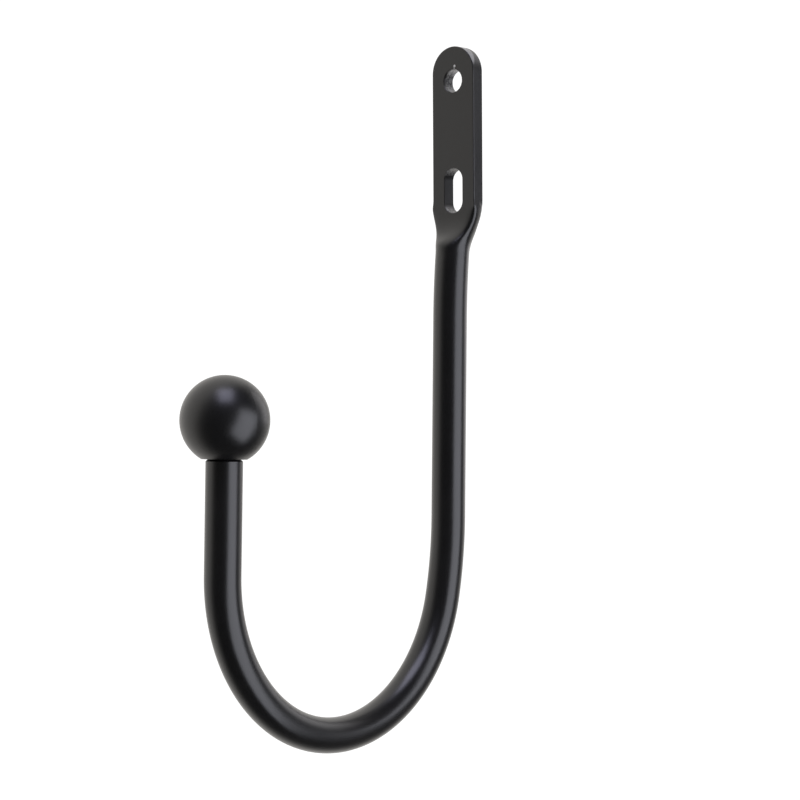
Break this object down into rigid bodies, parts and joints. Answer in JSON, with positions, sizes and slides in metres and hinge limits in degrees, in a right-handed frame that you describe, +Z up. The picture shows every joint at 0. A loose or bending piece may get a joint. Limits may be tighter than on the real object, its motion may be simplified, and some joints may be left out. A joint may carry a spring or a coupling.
{
  "type": "curtain holdback",
  "caption": "Wall hook that holds a drawn curtain back: a round bar bent into a U, pressed flat at the top with screw holes, with a ball on its free end.",
  "frame": {"origin": "centre of the round screw hole, on the wall plane", "axes": "+Z up along the tang, +Y into the wall, -Y out into the room along the hook's reach, +X to the right as seen from the room"},
  "size_m": [0.0168, 0.0784, 0.1423],
  "materials": {
    "hook_coat": "satin",
    "ball_coat": "satin"
  },
  "bodies": {
    "root": {"hook": "hook_coat", "ball_finial": "ball_coat"}
  },
  "joints": []
}
